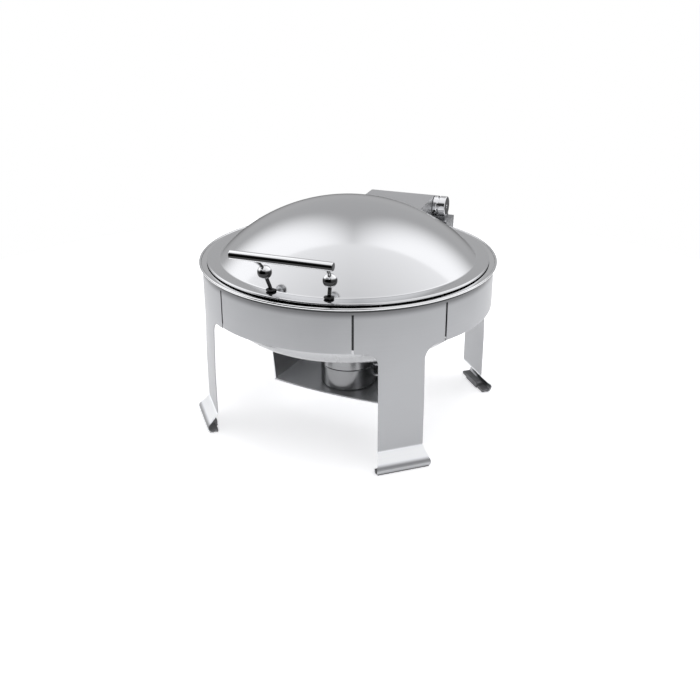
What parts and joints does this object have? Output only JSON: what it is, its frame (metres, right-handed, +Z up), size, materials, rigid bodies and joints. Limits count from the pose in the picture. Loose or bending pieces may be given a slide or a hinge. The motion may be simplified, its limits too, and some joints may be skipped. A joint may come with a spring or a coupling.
{
  "type": "roll top chafer",
  "caption": "Round buffet chafer: hinged domed lid with bar handle over a food pan and water pan, on a banded stand with curled feet and a fuel holder shelf.",
  "frame": {"origin": "on the vessel's vertical axis, at the table the rubber feet stand on", "axes": "+Z up; -Y is the front, where the lid handle is; +Y is the rear, where the lid hinge is; +X is the damper side of the hinge"},
  "size_m": [0.46, 0.5052, 0.343],
  "materials": {
    "skirt_steel": "fine brushed stainless steel",
    "polished_steel": "mirror polished stainless steel",
    "pan_steel": "satin stainless steel",
    "chrome": "bright chrome",
    "dark_steel": "plain stainless steel, unpolished",
    "rubber": "matt dark grey rubber"
  },
  "bodies": {
    "stand": {"stand_hoop": "dark_steel", "leg_front_right": "skirt_steel", "leg_front_left": "skirt_steel", "leg_rear_left": "skirt_steel", "leg_rear_right": "skirt_steel", "skirt_front": "skirt_steel", "skirt_right": "skirt_steel", "skirt_rear": "skirt_steel", "skirt_left": "skirt_steel", "hoop_studs": "dark_steel", "foot_pads": "rubber", "burner_shelf": "pan_steel", "shelf_bracket_front": "dark_steel", "shelf_bracket_rear": "dark_steel", "bracket_bolts": "dark_steel"},
    "vessel": {"water_pan": "pan_steel", "rim_ring": "polished_steel", "food_pan": "pan_steel", "hinge_base": "pan_steel", "base_screws": "chrome", "hinge_lug_left": "dark_steel", "hinge_lug_right": "dark_steel", "hinge_shaft": "chrome", "spring_sleeve": "dark_steel", "damper_barrel": "chrome", "damper_cap": "chrome", "cap_screw": "chrome"},
    "lid": {"lid_dome": "polished_steel", "hinge_arm": "pan_steel", "arm_saddle": "pan_steel", "backing_plate": "pan_steel", "arm_bolts": "chrome", "hinge_bushes": "dark_steel", "lid_buffers": "rubber", "handle_post_right": "chrome", "handle_post_left": "chrome", "handle_ball_right": "chrome", "handle_ball_left": "chrome", "handle_bar": "chrome"},
    "fuel_holder": {"fuel_cup": "pan_steel", "cup_handle": "chrome"},
    "holder_cover": {"cup_cover": "pan_steel", "cover_plate": "pan_steel", "shutter_pin": "chrome"},
    "shutter": {"shutter_plate": "pan_steel", "shutter_knob": "chrome"}
  },
  "joints": [
    {"name": "vessel_lift", "type": "slide", "parent": "stand", "child": "vessel", "axis": [0, 0, 1], "range_m": [0, 0.12]},
    {"name": "lid_hinge", "type": "hinge", "parent": "vessel", "child": "lid", "pos_m": [0, 0.225, 0.282], "axis": [-1, 0, 0], "range_deg": [0, 90]},
    {"name": "holder_slide", "type": "slide", "parent": "stand", "child": "fuel_holder", "axis": [-0.1115, -0.9938, 0], "range_m": [0, 0.16]},
    {"name": "cover_lift", "type": "slide", "parent": "fuel_holder", "child": "holder_cover", "axis": [0, 0, 1], "range_m": [0, 0.025]},
    {"name": "shutter_swivel", "type": "hinge", "parent": "holder_cover", "child": "shutter", "pos_m": [-0.0323, 0.00362, 0.1005], "axis": [0, 0, -1], "range_deg": [0, 100]}
  ]
}
